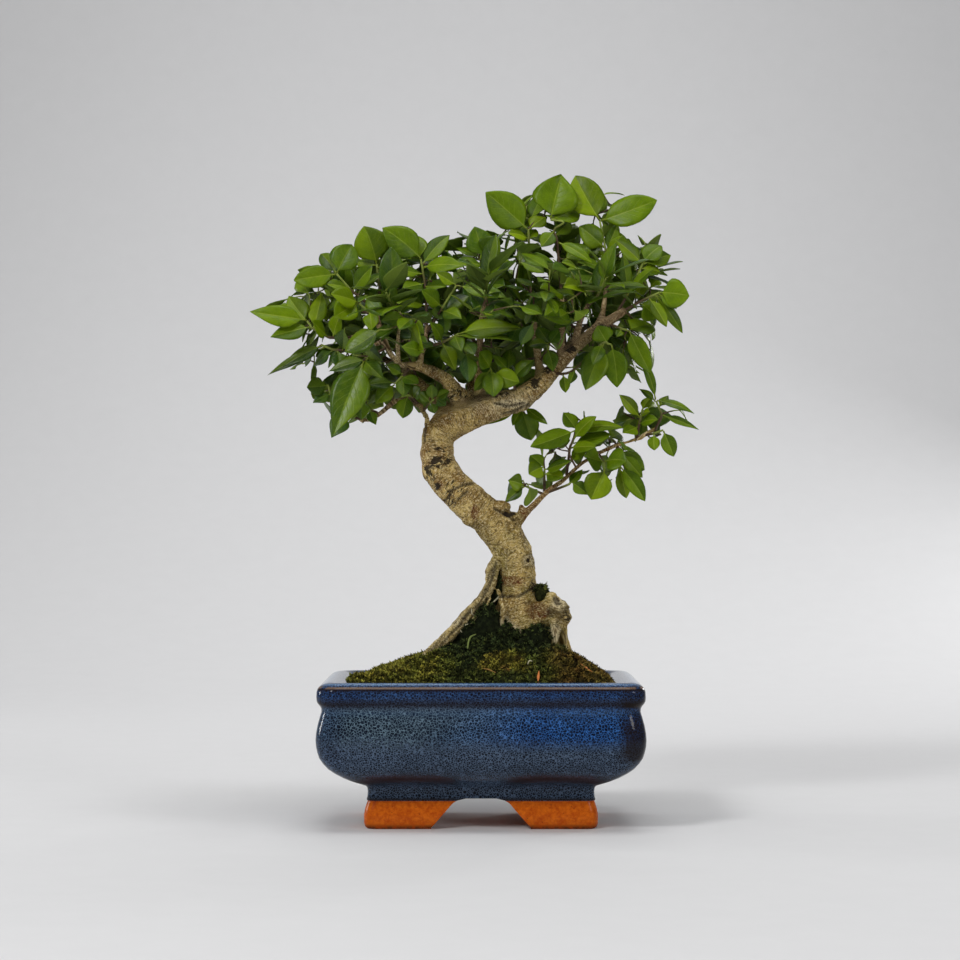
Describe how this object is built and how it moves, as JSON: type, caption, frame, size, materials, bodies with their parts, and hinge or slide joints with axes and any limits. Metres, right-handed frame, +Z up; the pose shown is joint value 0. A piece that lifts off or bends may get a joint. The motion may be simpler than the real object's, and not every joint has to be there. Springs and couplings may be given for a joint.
{
  "type": "chinese privet bonsai",
  "caption": "Small ornamental tree with a curved trunk, exposed roots and glossy oval leaves, grown in mossy soil in a glazed rectangular pot on corner feet.",
  "frame": {"origin": "middle of the whole plant's outline on the surface that the pot's feet stand on", "axes": "+Z up the trunk, +X along the pot's long side to the right of the view from the front, +Y from the front to the back"},
  "size_m": [0.2811, 0.1853, 0.4081],
  "materials": {
    "glaze": "gloss",
    "soil": "matte",
    "moss": "matte",
    "bark": "matte",
    "leaves": "satin",
    "screen": "matte"
  },
  "bodies": {
    "root": {"pot": "glaze", "drain_screen_left": "screen", "drain_screen_right": "screen", "soil": "soil", "moss": "moss", "tree": "bark", "shoot_top_left": "leaves", "shoot_top_middle": "leaves", "shoot_top_right": "leaves", "shoot_right_crest": "leaves", "shoot_right_end": "leaves", "shoot_right_hanging": "leaves", "shoot_right_under": "leaves", "shoot_lower_tip": "leaves", "shoot_lower_round": "leaves", "shoot_lower_top": "leaves", "shoot_lower_hanging": "leaves", "shoot_lower_wide": "leaves", "shoot_lower_middle": "leaves", "shoot_lower_inner": "leaves", "shoot_lower_twiglet": "leaves", "shoot_lower_pair": "leaves", "shoot_under_bough": "leaves", "shoot_left_outer_top": "leaves", "shoot_left_top": "leaves", "shoot_left_top_inner": "leaves", "shoot_centre_top": "leaves", "shoot_centre_front": "leaves", "shoot_centre_long": "leaves", "shoot_left_far": "leaves", "shoot_left_yellow": "leaves", "shoot_left_dark": "leaves", "shoot_left_big": "leaves", "shoot_left_low": "leaves", "shoot_left_low_middle": "leaves", "shoot_left_low_round": "leaves", "shoot_centre_hanging": "leaves", "shoot_centre_inner": "leaves", "shoot_centre_low": "leaves", "shoot_left_inner": "leaves", "shoot_left_low_inner": "leaves", "shoot_filling_1": "leaves", "shoot_filling_2": "leaves", "shoot_filling_3": "leaves", "shoot_filling_4": "leaves", "shoot_filling_5": "leaves", "shoot_filling_6": "leaves", "shoot_filling_7": "leaves", "shoot_filling_8": "leaves", "shoot_filling_9": "leaves", "shoot_filling_10": "leaves", "shoot_filling_11": "leaves", "shoot_filling_12": "leaves", "shoot_filling_13": "leaves", "shoot_filling_14": "leaves", "shoot_filling_15": "leaves", "shoot_filling_16": "leaves", "shoot_filling_17": "leaves", "shoot_filling_18": "leaves", "shoot_filling_19": "leaves"}
  },
  "joints": []
}
